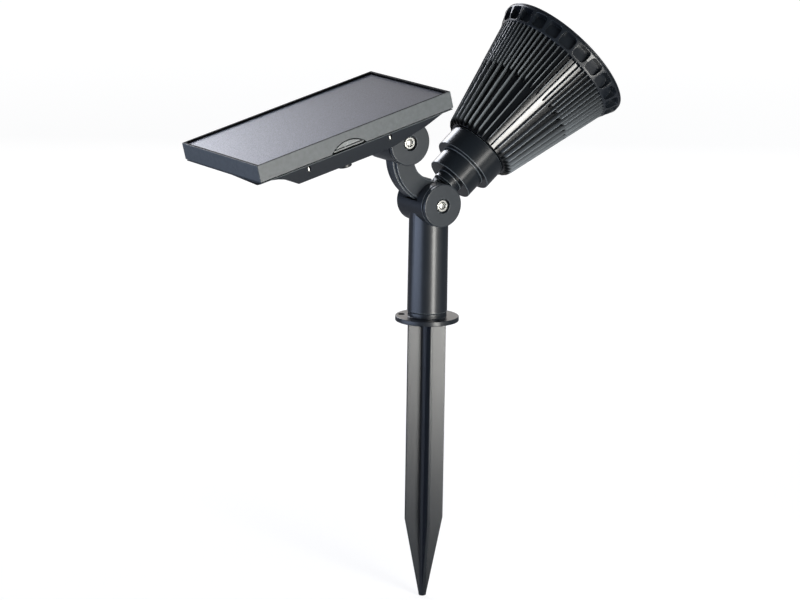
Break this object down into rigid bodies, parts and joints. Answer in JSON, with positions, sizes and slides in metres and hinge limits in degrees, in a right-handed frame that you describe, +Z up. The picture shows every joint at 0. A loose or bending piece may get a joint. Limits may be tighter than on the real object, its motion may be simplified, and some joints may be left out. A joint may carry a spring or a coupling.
{
  "type": "solar garden light",
  "caption": "Solar garden spotlight with a finned flared lamp head and a tilting flat solar panel, both pivoting on a short round post with a base flange and a cross-finned ground spike.",
  "frame": {"origin": "on the post's axis at the underside of the base flange, which lies on the soil when the spike is pushed in", "axes": "+Z up along the post, +X from the post towards the side the lamp head leans to, Y along both pivot bolts; the nuts face -Y"},
  "size_m": [0.2792, 0.0928, 0.3724],
  "materials": {
    "black_plastic": "satin black moulded plastic",
    "button_plastic": "glossy black moulded plastic",
    "holder_plastic": "plain black moulded plastic",
    "cell_sheet": "grey-violet cell sheet under a grained clear cover",
    "smoked_insert": "smoke-grey translucent plastic",
    "seal_rubber": "black rubber",
    "bright_steel": "bright plated steel",
    "washer_nylon": "white nylon",
    "cell_can": "can in a blue shrink sleeve",
    "board_green": "green solder mask",
    "led_board_metal": "white coated metal board",
    "led_resin": "yellow phosphor resin",
    "metallised_plastic": "mirror-bright metallised plastic",
    "clear_plastic": "clear plastic"
  },
  "bodies": {
    "stand": {"ground_spike": "black_plastic", "base_flange": "black_plastic", "post": "black_plastic", "lower_joint_cap": "black_plastic", "lower_joint_bolt": "bright_steel", "lower_joint_nut": "bright_steel", "lower_joint_washer": "washer_nylon"},
    "panel_arm": {"arm_body": "black_plastic", "arm_rear_cover": "black_plastic", "arm_cover_screw_1": "bright_steel", "arm_cover_screw_2": "bright_steel"},
    "solar_panel": {"upper_joint_cap": "black_plastic", "upper_joint_bolt": "bright_steel", "upper_joint_nut": "bright_steel", "upper_joint_washer": "washer_nylon", "panel_frame": "black_plastic", "solar_cell_sheet": "cell_sheet", "shell_gasket": "seal_rubber", "half_moon_insert": "smoked_insert", "back_shell": "black_plastic", "side_screw_1": "bright_steel", "side_screw_2": "bright_steel", "side_screw_3": "bright_steel", "side_screw_4": "bright_steel", "battery_hatch": "black_plastic", "hatch_screw_1": "bright_steel", "hatch_screw_2": "bright_steel", "battery_holder": "holder_plastic", "battery_cell_1": "cell_can", "battery_cell_2": "cell_can", "battery_contact_1": "bright_steel", "battery_contact_2": "bright_steel", "control_board": "board_green", "board_screw_1": "bright_steel", "board_screw_2": "bright_steel", "push_switch": "holder_plastic"},
    "power_button": {"power_button": "button_plastic"},
    "lamp_head": {"lamp_neck": "black_plastic", "neck_seal": "seal_rubber", "neck_screw_1": "bright_steel", "neck_screw_2": "bright_steel", "neck_screw_3": "bright_steel", "lamp_housing": "black_plastic", "led_board": "led_board_metal", "led_1": "led_resin", "led_2": "led_resin", "led_3": "led_resin", "led_4": "led_resin", "led_screw_1": "bright_steel", "led_screw_2": "bright_steel", "reflector": "metallised_plastic", "lens_gasket": "seal_rubber", "front_lens": "clear_plastic", "bezel_ring": "black_plastic"}
  },
  "joints": [
    {"name": "arm_swing", "type": "hinge", "parent": "stand", "child": "panel_arm", "pos_m": [0, 0, 0.0747], "axis": [0, -1, 0], "range_deg": [-15, 0]},
    {"name": "panel_tilt", "type": "hinge", "parent": "panel_arm", "child": "solar_panel", "pos_m": [-0.0246, 0, 0.1158], "axis": [0, -1, 0], "range_deg": [-35, 0]},
    {"name": "lamp_tilt", "type": "hinge", "parent": "stand", "child": "lamp_head", "pos_m": [0, 0, 0.0747], "axis": [0, -1, 0], "range_deg": [-38, 3]},
    {"name": "power_button_press", "type": "slide", "parent": "solar_panel", "child": "power_button", "axis": [-0.247, 0, 0.969], "range_m": [0, 0.0008], "stiffness_N_per_m": 800, "springref_m": -0.0015}
  ]
}
